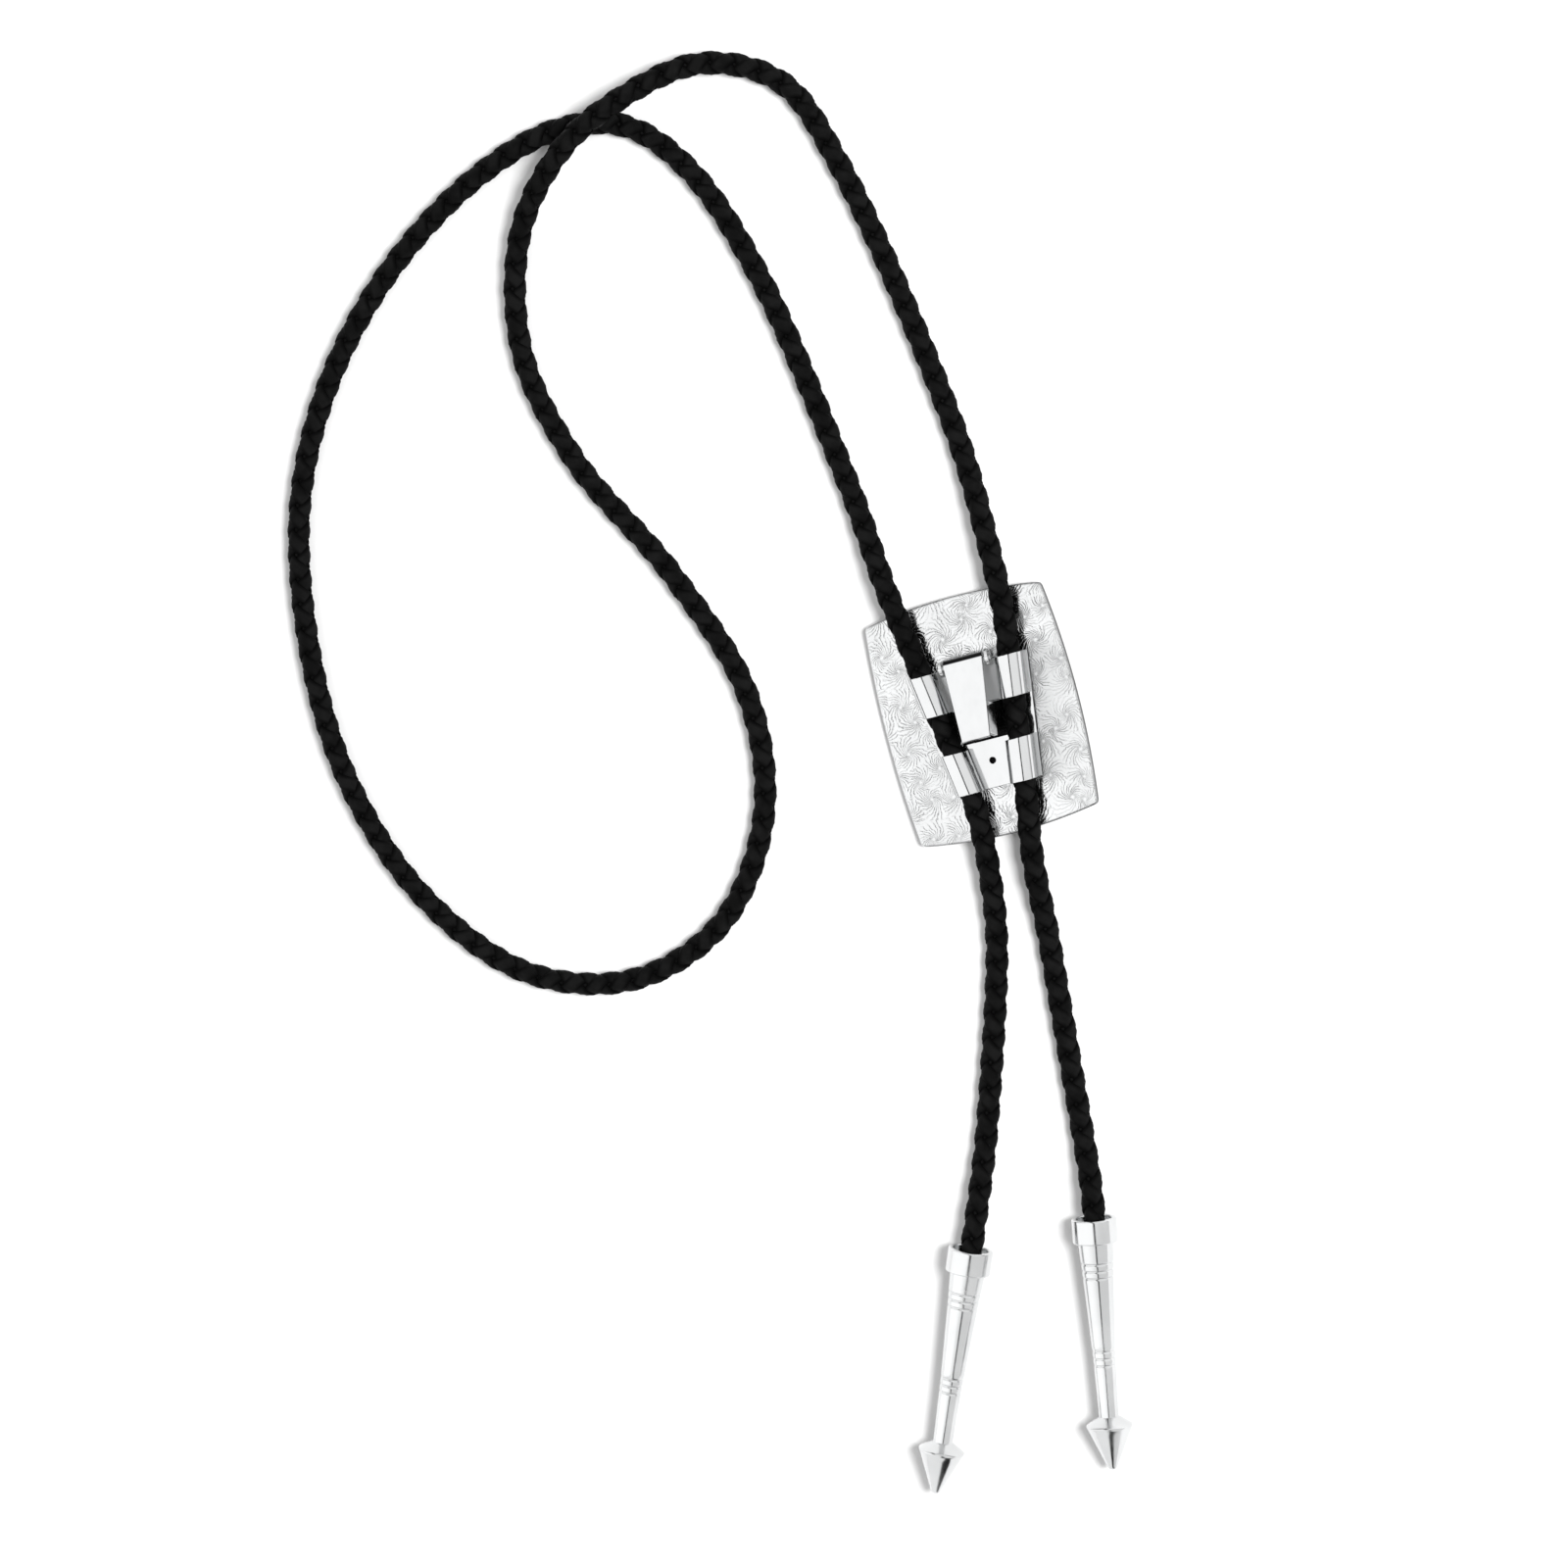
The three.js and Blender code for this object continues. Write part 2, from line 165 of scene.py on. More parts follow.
NOSE_RADIUS = 1.0 * MM
TIP_AXIS_Z = 4.2 * MM
TIP_SEGMENTS = 96
TIP_PLACES = {
    "tip_left": (-26.4 * MM, -92.9 * MM, math.radians(23.3)),
    "tip_right": (-3.0 * MM, -92.3 * MM, math.radians(10.5)),
}

# The cord's route, from inside the left tip to inside the right one
CORD_ROUTE = (
    (-0.0310, -0.1036, 0.0042),
    (-0.0244, -0.0884, 0.0040),
    (-0.0185, -0.0730, 0.0020),
    (-0.0080, -0.0410, 0.0020),
    (-0.0054, -0.0270, 0.0038),
    (-0.0048, -0.0154, 0.0045),
    (-0.00593, -0.0070, 0.0045),
    (-0.0091, 0.0160, 0.0045),
    (-0.0106, 0.0270, 0.0043),
    (-0.0126, 0.0450, 0.0020),
    (-0.0190, 0.0870, 0.0020),
    (-0.0265, 0.1086, 0.0020),
    (-0.0357, 0.1193, 0.0020),
    (-0.0480, 0.1224, 0.0020),
    (-0.0650, 0.1186, 0.0020),
    (-0.0860, 0.1068, 0.0020),
    (-0.1035, 0.0897, 0.0020),
    (-0.1150, 0.0695, 0.0020),
    (-0.1205, 0.0430, 0.0020),
    (-0.1198, 0.0180, 0.0020),
    (-0.1115, -0.0062, 0.0020),
    (-0.0955, -0.0249, 0.0020),
    (-0.0755, -0.0310, 0.0020),
    (-0.0563, -0.0246, 0.0020),
    (-0.0437, -0.0075, 0.0020),
    (-0.0409, 0.0140, 0.0020),
    (-0.0489, 0.0391, 0.0020),
    (-0.0613, 0.0642, 0.0020),
    (-0.0656, 0.0860, 0.0020),
    (-0.0598, 0.1060, 0.0034),
    (-0.0476, 0.1179, 0.0064),
    (-0.0349, 0.1236, 0.0064),
    (-0.0190, 0.1260, 0.0030),
    (-0.0059, 0.1187, 0.0020),
    (0.0006, 0.1015, 0.0020),
    (0.0086, 0.0510, 0.0020),
    (0.0096, 0.0280, 0.0043),
    (0.0091, 0.0160, 0.0045),
    (0.00786, 0.0070, 0.0045),
    (0.0048, -0.0154, 0.0045),
    (0.0029, -0.0270, 0.0040),
    (0.0016, -0.0420, 0.0020),
    (-0.0015, -0.0780, 0.0022),
    (-0.0022, -0.0880, 0.0041),
    (-0.0051, -0.1038, 0.0042),
)


# Nodes


class Signal:
    """A node's output that can be written in a formula: each operator adds its Math node."""

    def __init__(self, tree, socket):
        self.tree = tree
        self.socket = socket

    def math(self, operation, *others):
        return self.tree.node("ShaderNodeMath", {"operation": operation}, dict(enumerate((self, *others))))

    def vector(self, operation, other):
        inputs = {0: self, "Scale" if operation == "SCALE" else 1: other}
        return self.tree.node("ShaderNodeVectorMath", {"operation": operation}, inputs)

    def __add__(self, other):
        return self.math("ADD", other)

    def __sub__(self, other):
        return self.math("SUBTRACT", other)

    def __mul__(self, other):
        return self.math("MULTIPLY", other)

    def __truediv__(self, other):
        return self.math("DIVIDE", other)

    def __pow__(self, other):
        return self.math("POWER", other)

    def __neg__(self):
        return self.math("MULTIPLY", -1.0)

    def __rsub__(self, other):
        return (-self).math("ADD", other)

    __radd__ = __add__
    __rmul__ = __mul__

    def cos(self):
        return self.math("COSINE")

    def sin(self):
        return self.math("SINE")

    def abs(self):
        return self.math("ABSOLUTE")

    def between(self, low, high, to_low=0.0, to_high=1.0):
        """A smooth step from one level to another as the value goes from low to high."""
        return self.tree.node(
            "ShaderNodeMapRange",
            {"interpolation_type": "SMOOTHSTEP"},
            {0: self, 1: low, 2: high, 3: to_low, 4: to_high},
        )


class Nodes:
    """Adds nodes to a tree: a type, its settings, then the values or links of its sockets."""

    def __init__(self, tree):
        self.tree = tree

    def node(self, kind, settings=None, inputs=None, output=0):
        made = self.tree.nodes.new(kind)
        for name, value in (settings or {}).items():
            setattr(made, name, value)
        for key, value in (inputs or {}).items():
            self.feed(made.inputs[key], value)
        return Signal(self, made.outputs[output])

    def feed(self, socket, value):
        if isinstance(value, Signal):
            self.tree.links.new(value.socket, socket)
        else:
            socket.default_value = value


class Finish(Nodes):
    """A material: constants go straight on the surface's sockets, patterns are fed to them."""

    def __init__(self, name, **constants):
        self.material = bpy.data.materials.new(name)
        self.material.use_nodes = True
        super().__init__(self.material.node_tree)
        self.surface = self.tree.nodes["Principled BSDF"]
        for key, value in constants.items():
            self.surface.inputs[key.replace("_", " ").title().replace("Ior", "IOR")].default_value = value

    def place(self, stretch=(1, 1, 1)):
        """A point of the object, in metres, stretched along its axes."""
        coordinates = self.node("ShaderNodeTexCoord", output=3)
        return self.node("ShaderNodeMapping", {}, {0: coordinates, "Scale": stretch})

    def noise(self, scale, detail=3.0, roughness=0.5, at=None):
        inputs = {"Vector": at or self.place(), "Scale": scale, "Detail": detail, "Roughness": roughness}
        return self.node("ShaderNodeTexNoise", {}, inputs)

    def mix(self, factor, dark, light):
        return self.node("ShaderNodeMix", {"data_type": "RGBA"}, {0: factor, 6: dark, 7: light}, 2)

    def parts(self, vector):
        """The three numbers of a vector or colour."""
        split = self.node("ShaderNodeSeparateXYZ", {}, {0: vector})
        return [Signal(self, socket) for socket in split.socket.node.outputs]

    def cells(self, place, feature):
        """The outputs of a loose pattern of cells in X and Y, by their names."""
        settings = {"voronoi_dimensions": "2D", "feature": feature}
        inputs = {"Vector": place, "Scale": 1.0, "Randomness": 0.75}
        made = self.node("ShaderNodeTexVoronoi", settings, inputs)
        return {socket.name: Signal(self, socket) for socket in made.socket.node.outputs}

    def attribute(self, name, output=2):
        return self.node("ShaderNodeAttribute", {"attribute_name": name}, {}, output)

    def colour(self, value):
        self.feed(self.surface.inputs["Base Color"], value)

    def roughness(self, value):
        self.feed(self.surface.inputs["Roughness"], value)

    def relief(self, height, depth, strength=1.0):
        """Bumps of the given depth in metres."""
        bump = self.node("ShaderNodeBump", {}, {"Strength": strength, "Distance": depth, "Height": height})
        self.feed(self.surface.inputs["Normal"], bump)


def grey(value):
    return (value, value, value, 1.0)


def cool(value):
    return (value * 0.985, value * 0.995, value, 1.0)


# Finishes


def polished_silver():
    """Tips: bright polish with haze, faint wipe marks and fine pits."""
    finish = Finish("polished_silver", metallic=1.0)
    haze = finish.noise(120.0, 4.0)
    scratches = finish.noise(900.0, 2.0, at=finish.place((1.0, 0.12, 1.0)))
    finish.colour(finish.mix(haze.between(0.35, 0.7), cool(0.64), cool(0.70)))
    finish.roughness(haze.between(0.3, 0.75, 0.13, 0.24) + scratches.between(0.55, 0.75, 0.0, 0.05))
    finish.relief(scratches, 0.002 * MM, 0.35)
    return finish.material


def engraved_silver():
    """Plate: polish cut all over with feathered scrolls, the cuts painted a little darker as painted
    shade in the grooves, and painted shade and painted reflection where the mesh marks them.
    """
    finish = Finish("engraved_silver", metallic=1.0)
    haze = finish.noise(120.0, 4.0)
    level = scroll_level(finish)
    # painted shade: the colour in the cuts is darker than the polish around them
    cut = finish.mix(level, cool(0.56), finish.mix(haze.between(0.35, 0.7), cool(0.6), cool(0.66)))
    # painted shade and painted reflection: black where the mesh marks it (under the clip, the hinge line,
    # the rim walls), darker beside the clip
    finish.colour(finish.mix(finish.attribute("painted_shade"), cut, cool(0.006)))
    finish.roughness(haze.between(0.3, 0.75, 0.08, 0.14))
    finish.relief(level + finish.noise(3000.0, 2.0) * 0.3, CUT_DEPTH)
    return finish.material


def scroll_level(finish):
    """The surface's level from 0 in a cut to 1: round each scroll's eye a fan of curved cuts that
    fade outwards, each cut with its own depth and reach."""
    even = finish.place((1 / SCROLL_PITCH,) * 3)
    drift = finish.noise(1.2, 2.0, at=even).vector("SCALE", 0.35)
    place = even.vector("ADD", drift)
    scroll = finish.cells(place, "F1")
    border = finish.cells(place, "DISTANCE_TO_EDGE")["Distance"]
    x, y, _ = finish.parts(place.vector("SUBTRACT", scroll["Position"]))
    chance, way, _ = finish.parts(scroll["Color"])
    radius = (x * x + y * y) ** 0.5
    twist = (radius + 0.1).math("LOGARITHM", math.e) * way.between(0.49, 0.51, -SCROLL_TWIST, SCROLL_TWIST)
    wobble = finish.noise(9.0, 2.0, at=even)
    phase = (y.math("ARCTAN2", x) + twist) * (SCROLL_CUTS / (2 * math.pi)) + wobble
    number = phase.math("WRAP", SCROLL_CUTS, 0.0).math("FLOOR")
    own = finish.node("ShaderNodeCombineXYZ", {}, {0: number, 1: chance * 50.0})
    depth, reach, _ = finish.parts(finish.node("ShaderNodeTexWhiteNoise", {}, {"Vector": own}, 1))
    share = radius / (radius + border)
    faded = (reach * 0.4 + 0.85 - share).between(-0.1, 0.2) * radius.between(0.03, 0.12)
    groove = ((phase * (2 * math.pi)).cos() * 0.5 + 0.5) ** 3.0
    return 1.0 - groove * faded * (depth**3.0 * 0.8 + 0.35)


def plated_steel():
    """Clip: smooth bright plating with faint rolling marks, satin on the lever's underside and on
    the sheet between the hinge and the window, that sheet painted lighter as painted light bounced from
    under the lever, and the back of the lever's curl painted black as painted shade."""
    finish = Finish("plated_steel", metallic=1.0)
    rolling = finish.noise(1400.0, 2.0, at=finish.place((1.0, 0.06, 1.0)))
    haze = finish.noise(220.0, 3.0)
    _, y, z = finish.parts(finish.place())
    bed = z.between(HINGE_BED_TOP, HINGE_BED_TOP + 0.1 * MM, 1.0, 0.0)
    bed = bed * y.between(WINDOW_TOP + 0.1 * MM, WINDOW_TOP + 0.4 * MM)
    bright = finish.mix(haze, cool(0.58), cool(0.64))
    # painted light: the sheet between the window and the hinge is painted lighter, for light bounced from
    # under the lever
    smooth = finish.mix(bed, bright, cool(0.8))
    # painted shade: black where the mesh marks it, on the back of the lever's hinge curl
    finish.colour(finish.mix(finish.attribute("painted_shade"), smooth, cool(0.006)))
    satin = finish.attribute("satin") + bed
    finish.roughness(rolling.between(0.3, 0.8, 0.08, 0.16) + satin * 0.42)
    finish.relief(rolling, 0.001 * MM, 0.3)
    return finish.material


def braid_leather():
    """Cord: black satin leather, grained, with lengthwise creases, painted lighter mid-strand with
    patches of painted sheen, and black at each strand's edges as painted shade in the gaps.
    """
    finish = Finish("braid_leather", specular_ior_level=0.03)
    across = finish.attribute("across")
    grain = finish.noise(2600.0, 4.0, 0.6)
    wear_and_sheen = finish.noise(260.0, 3.0)
    crease = (across * 9.0 + finish.noise(500.0, 2.0) * 5.0).sin()
    # painted light and shade: each strand's middle is painted lighter in patches of painted sheen, and its
    # edges black where the gaps lie in shade
    lit = across.abs().between(0.35, 0.95, 1.0, 0.0) * wear_and_sheen.between(0.3, 0.7, 0.3, 1.0)
    finish.colour(finish.mix(lit, grey(0.0008), grey(0.0045)))
    finish.roughness(wear_and_sheen.between(0.3, 0.7, 0.46, 0.6) + grain * 0.08)
    finish.relief(grain + crease * 0.25, 0.05 * MM, 0.6)
    return finish.material


def pale_surface():
    finish = Finish("pale_surface", roughness=0.85)
    cloud = finish.noise(6.0, 2.0)
    finish.colour(finish.mix(cloud, grey(0.5), grey(0.52)))
    return finish.material


# Camera and light


def photo_camera():
    right = Vector((math.cos(PICTURE_TURN), -math.sin(PICTURE_TURN), 0))
    up = Vector((math.sin(PICTURE_TURN), math.cos(PICTURE_TURN), 0))
    back = (right * LEAN_RIGHT + up * LEAN_UP + Vector((0, 0, 1))).normalized()
    across = up.cross(back).normalized()
    upward = back.cross(across)
    data = bpy.data.cameras.new("photo_camera")
    data.lens = LENS
    data.sensor_width = SENSOR
    data.clip_start = 0.01
    camera = bpy.data.objects.new("photo_camera", data)
    turn = Matrix((across, upward, back)).transposed().to_4x4()
    camera.matrix_world = Matrix.Translation(PICTURE_CENTRE + back * CAMERA_DISTANCE) @ turn
    bpy.context.scene.collection.objects.link(camera)
    bpy.context.scene.camera = camera
    return right, up


def soft_light(name, target, direction, distance, size, power):
    data = bpy.data.lights.new(name, "AREA")
    data.shape = "DISK"
    data.size = size
    data.energy = power
    light = bpy.data.objects.new(name, data)
    towards = Vector(direction).normalized()
    light.location = Vector(target) + towards * distance
    light.rotation_euler = towards.to_track_quat("Z", "Y").to_euler()
    light.visible_glossy = False
    bpy.context.scene.collection.objects.link(light)


def studio():
    """A bright room: a white ceiling and left wall, greyer and darker fields that draw edges and cuts."""
    world = bpy.data.worlds.new("studio")
    world.use_nodes = True
    bpy.context.scene.world = world
    room = Nodes(world.node_tree)
    direction = room.node("ShaderNodeTexCoord")
    parts = room.node("ShaderNodeSeparateXYZ", {}, {0: direction})
    x, y, z = (Signal(room, socket) for socket in parts.socket.node.outputs)
    off_gap = (x * math.cos(GAP_ANGLE) - z * math.sin(GAP_ANGLE)).abs()
    off_slit = (x + z * SLIT_SLANT - SLIT_RIGHT).abs()
    ahead = y.between(-0.75, -0.65)
    gap = off_gap.between(*GAP_EDGE) * ahead + off_slit.between(*SLIT_EDGE) * (1.0 - ahead)
    right_side = x.between(-0.05, 0.35, 1.0, 0.8)
    box_edge = y.abs().between(0.17, 0.3, 1.0, 0.75)
    back_box = y.between(0.5, 0.58) * y.between(0.72, 0.78, 1.0, 0.0)
    ceiling = box_edge.math("MAXIMUM", back_box)
    right_wall = x.between(0.93, 0.99, 1.0, 0.35)
    level = gap * right_side * ceiling * right_wall * ROOM_LEVEL
    background = world.node_tree.nodes["Background"]
    room.feed(background.inputs["Strength"], level)
    background.inputs["Color"].default_value = (1.0, 1.0, 1.0, 1.0)
    bpy.context.scene.view_settings.view_transform = "Standard"


def floor():
    mesh = bpy.data.meshes.new("floor")
    sides = ((-1, -1), (1, -1), (1, 1), (-1, 1))
    corners = [(x * FLOOR_REACH, y * FLOOR_REACH, -FLOOR_DROP) for x, y in sides]
    mesh.from_pydata(corners, [], [(0, 1, 2, 3)])
    made = bpy.data.objects.new("floor", mesh)
    bpy.context.scene.collection.objects.link(made)
    mesh.materials.append(pale_surface())


# Mesh helpers

# Stand a drawing up: its X and Y become Y and Z, or its Y and Z become Z and -Y
UPRIGHT = Matrix(((0, 0, 1, 0), (1, 0, 0, 0), (0, 1, 0, 0), (0, 0, 0, 1)))
LENGTHWISE = Matrix(((1, 0, 0, 0), (0, 0, -1, 0), (0, 1, 0, 0), (0, 0, 0, 1)))


def piece(name, mesh, material, body, replaced=()):
    """A finished piece: named, smooth, painted, riding on its body and standing for its CAD nodes."""
    made = bpy.data.objects.new(name, mesh)
    mesh.name = name
    bpy.context.scene.collection.objects.link(made)
    mesh.materials.clear()
    mesh.materials.append(material)
    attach(made, body)
    if replaced:
        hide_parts(*replaced)
    return made


def sharpened(mesh, degrees=35):
    """Smooth shading that breaks at sharp edges and keeps flat faces flat."""
    mesh.polygons.foreach_set("use_smooth", [True] * len(mesh.polygons))
    work = bmesh.new()
    work.from_mesh(mesh)
    for edge in work.edges:
        edge.smooth = len(edge.link_faces) == 2 and edge.calc_face_angle() < math.radians(degrees)
    work.to_mesh(mesh)
    work.free()
    return finished(mesh, "WEIGHTED_NORMAL", keep_sharp=True)


def joined(meshes):
    work = bmesh.new()
    for mesh in meshes:
        work.from_mesh(mesh)
        bpy.data.meshes.remove(mesh)
    whole = bpy.data.meshes.new("joined")
    work.to_mesh(whole)
    work.free()
    return whole


def finished(mesh, kind, **settings):
    """The mesh after one modifier."""
    made = bpy.data.objects.new("finished", mesh)
    bpy.context.scene.collection.objects.link(made)
    modifier = made.modifiers.new("finish", kind)
    for name, value in settings.items():
        setattr(modifier, name, value)
    evaluated = made.evaluated_get(bpy.context.evaluated_depsgraph_get())
    result = bpy.data.meshes.new_from_object(evaluated)
    bpy.data.objects.remove(made)
    bpy.data.meshes.remove(mesh)
    return result


def bevelled(mesh, width, segments=2, degrees=40):
    """The mesh with its sharp edges rounded."""
    angle = math.radians(degrees)
    return finished(mesh, "BEVEL", width=width, segments=segments, limit_method="ANGLE", angle_limit=angle)


def arc(centre, radius, start, end, steps):
    """Points of an arc in a plane, both ends included."""
    turns = (start + (end - start) * i / steps for i in range(steps + 1))
    return [(centre[0] + radius * math.cos(t), centre[1] + radius * math.sin(t)) for t in turns]


def slab(outline, holes, thickness, edge):
    """A flat sheet with holes, lying on z = 0, its edges rounded."""
    curve = bpy.data.curves.new("slab", "CURVE")
    curve.dimensions = "2D"
    curve.fill_mode = "BOTH"
    curve.extrude = thickness / 2 - edge
    curve.bevel_depth = edge
    curve.bevel_resolution = 1
    curve.offset = -edge
    for points in [outline, *holes]:
        spline = curve.splines.new("POLY")
        spline.points.add(len(points) - 1)
        for point, (x, y) in zip(spline.points, points):
            point.co = (x, y, 0, 1)
        spline.use_cyclic_u = True
    holder = bpy.data.objects.new("slab", curve)
    bpy.context.scene.collection.objects.link(holder)
    bpy.context.view_layer.update()
    mesh = bpy.data.meshes.new_from_object(holder.evaluated_get(bpy.context.evaluated_depsgraph_get()))
    bpy.data.objects.remove(holder)
    mesh.transform(Matrix.Translation((0, 0, thickness / 2)))
    return cleaned(mesh)


def cleaned(mesh, distance=1e-6):
    work = bmesh.new()
    work.from_mesh(mesh)
    bmesh.ops.remove_doubles(work, verts=work.verts, dist=distance)
    bmesh.ops.recalc_face_normals(work, faces=work.faces)
    work.to_mesh(mesh)
    work.free()
    return mesh


def turned(profile, segments):
    """A closed solid of revolution about Z from (radius, z) points that start and end on the axis,
    or a ring where the profile closes on itself."""
    ring = profile[0][0] > 0
    vertices = []
    rows = []
    for radius, z in profile:
        if radius == 0:
            rows.append([len(vertices)] * segments)
            vertices.append((0, 0, z))
            continue
        rows.append(list(range(len(vertices), len(vertices) + segments)))
        for i in range(segments):
            turn = 2 * math.pi * i / segments
            vertices.append((radius * math.cos(turn), radius * math.sin(turn), z))
    faces = []
    pairs = list(zip(rows, rows[1:]))
    if ring:
        pairs.append((rows[-1], rows[0]))
    for low, high in pairs:
        for i in range(segments):
            j = (i + 1) % segments
            corners = [low[i], low[j], high[j], high[i]]
            faces.append(list(dict.fromkeys(corners)))
    mesh = bpy.data.meshes.new("turned")
    mesh.from_pydata(vertices, [], faces)
    return cleaned(mesh)


# Cord


def laid_path():
    """Points every half millimetre of the smooth curve through the route, never below the surface."""
    route = [Vector(point) for point in CORD_ROUTE]
    route = [2 * route[0] - route[1], *route, 2 * route[-1] - route[-2]]
    dense = []
    for p0, p1, p2, p3 in zip(route, route[1:], route[2:], route[3:]):
        d0, d1, d2 = (math.sqrt((b - a).length) for a, b in ((p0, p1), (p1, p2), (p2, p3)))
        m1 = d1 * ((p1 - p0) / d0 - (p2 - p0) / (d0 + d1) + (p2 - p1) / d1)
        m2 = d1 * ((p2 - p1) / d1 - (p3 - p1) / (d1 + d2) + (p3 - p2) / d2)
        for i in range(STEPS_BETWEEN_POINTS):
            t = i / STEPS_BETWEEN_POINTS
            dense.append(
                (2 * t**3 - 3 * t**2 + 1) * p1 + (t**3 - 2 * t**2 + t) * m1
                + (3 * t**2 - 2 * t**3) * p2 + (t**3 - t**2) * m2
            )
    dense.append(route[-2])
    points = np.array([tuple(p) for p in dense])
    points[:, 2] = np.maximum(points[:, 2], CORD_DIAMETER / 2)
    along = np.concatenate([[0], np.cumsum(np.linalg.norm(np.diff(points, axis=0), axis=1))])
    places = np.linspace(0, along[-1], round(along[-1] / PATH_STEP) + 1)
    return np.stack([np.interp(places, along, points[:, k]) for k in range(3)], 1), along[-1]


def braid_tree():
    """Geometry nodes that lay a four-strand round braid along a curve."""
    group = bpy.data.node_groups.new("round_braid", "GeometryNodeTree")
    face = group.interface
    face.new_socket("Path", in_out="INPUT", socket_type="NodeSocketGeometry")
    for name in ("Lay", "Circle", "Weave", "Half Thickness", "Half Width", "Steps Per Lay"):
        face.new_socket(name, in_out="INPUT", socket_type="NodeSocketFloat")
    face.new_socket("Sides", in_out="INPUT", socket_type="NodeSocketInt")
    face.new_socket("Leather", in_out="INPUT", socket_type="NodeSocketMaterial")
    face.new_socket("Braid", in_out="OUTPUT", socket_type="NodeSocketGeometry")
    tree = Nodes(group)
    entry = group.nodes.new("NodeGroupInput")
    inlet = {socket.name: Signal(tree, socket) for socket in entry.outputs if socket.name}

    length = tree.node("GeometryNodeCurveLength", {}, {0: inlet["Path"]})
    count = length / inlet["Lay"] * inlet["Steps Per Lay"]
    path = tree.node("GeometryNodeResampleCurve", {}, {"Curve": inlet["Path"], "Count": count})
    path = tree.node("GeometryNodeSetCurveNormal", {"mode": "Z_UP"}, {"Curve": path})
    along = tree.node("GeometryNodeSplineParameter", output=1)
    turn = along * (2 * math.pi) / inlet["Lay"]
    normal = tree.node("GeometryNodeInputNormal")
    side = tree.node("GeometryNodeInputTangent").vector("CROSS_PRODUCT", normal)
    inputs = {"Resolution": inlet["Sides"], "Radius": 1.0}
    section = tree.node("GeometryNodeCurvePrimitiveCircle", {}, inputs)
    section = section_with_across(tree, section, inlet)
    strands = []
    for way in (1, -1):
        for phase in (0.0, math.pi):
            angle = turn * way + phase
            radius = (turn * 2.0).cos() * (inlet["Weave"] * way) + inlet["Circle"]
            outward = normal.vector("SCALE", angle.cos()).vector("ADD", side.vector("SCALE", angle.sin()))
            strands.append(strand(tree, path, outward, radius, section))
    core = tree.node("GeometryNodeCurvePrimitiveCircle", {}, {"Resolution": 8, "Radius": inlet["Circle"]})
    inputs = {"Curve": path, "Profile Curve": core, "Fill Caps": True}
    strands.append(tree.node("GeometryNodeCurveToMesh", {}, inputs))
    together = group.nodes.new("GeometryNodeJoinGeometry")
    for made in strands:
        group.links.new(made.socket, together.inputs[0])
    solid = tree.node("GeometryNodeRealizeInstances", {}, {0: Signal(tree, together.outputs[0])})
    painted = tree.node("GeometryNodeSetMaterial", {}, {"Geometry": solid, "Material": inlet["Leather"]})
    leave = group.nodes.new("NodeGroupOutput")
    group.links.new(painted.socket, leave.inputs[0])
    return group


def section_with_across(tree, section, inlet):
    """The strand's flat oval section, which remembers how far across each point lies."""
    position = tree.node("GeometryNodeInputPosition")
    across = tree.node("ShaderNodeSeparateXYZ", {}, {0: position}, 1)
    marked = tree.node(
        "GeometryNodeStoreNamedAttribute",
        {"data_type": "FLOAT", "domain": "POINT"},
        {"Geometry": section, "Name": "across", "Value": across},
    )
    inputs = {0: inlet["Half Thickness"], 1: inlet["Half Width"], 2: 1.0}
    scale = tree.node("ShaderNodeCombineXYZ", {}, inputs)
    return tree.node("GeometryNodeTransform", {}, {"Geometry": marked, "Scale": scale})


def strand(tree, path, outward, radius, section):
    """One strand: the path moved outwards, its section kept flat to the cord's surface."""
    group = tree.tree
    capture = group.nodes.new("GeometryNodeCaptureAttribute")
    capture.capture_items.new("VECTOR", "Outward")
    capture.capture_items.new("FLOAT", "Radius")
    tree.feed(capture.inputs[0], path)
    tree.feed(capture.inputs[1], outward)
    tree.feed(capture.inputs[2], radius)
    kept_outward = Signal(tree, capture.outputs[1])
    kept_radius = Signal(tree, capture.outputs[2])
    offset = kept_outward.vector("SCALE", kept_radius)
    captured = Signal(tree, capture.outputs[0])
    moved = tree.node("GeometryNodeSetPosition", {}, {"Geometry": captured, "Offset": offset})
    inputs = {"Curve": moved, "Normal": kept_outward}
    faced = tree.node("GeometryNodeSetCurveNormal", {"mode": "FREE"}, inputs)
    inputs = {"Curve": faced, "Profile Curve": section, "Fill Caps": True}
    return tree.node("GeometryNodeCurveToMesh", {}, inputs)


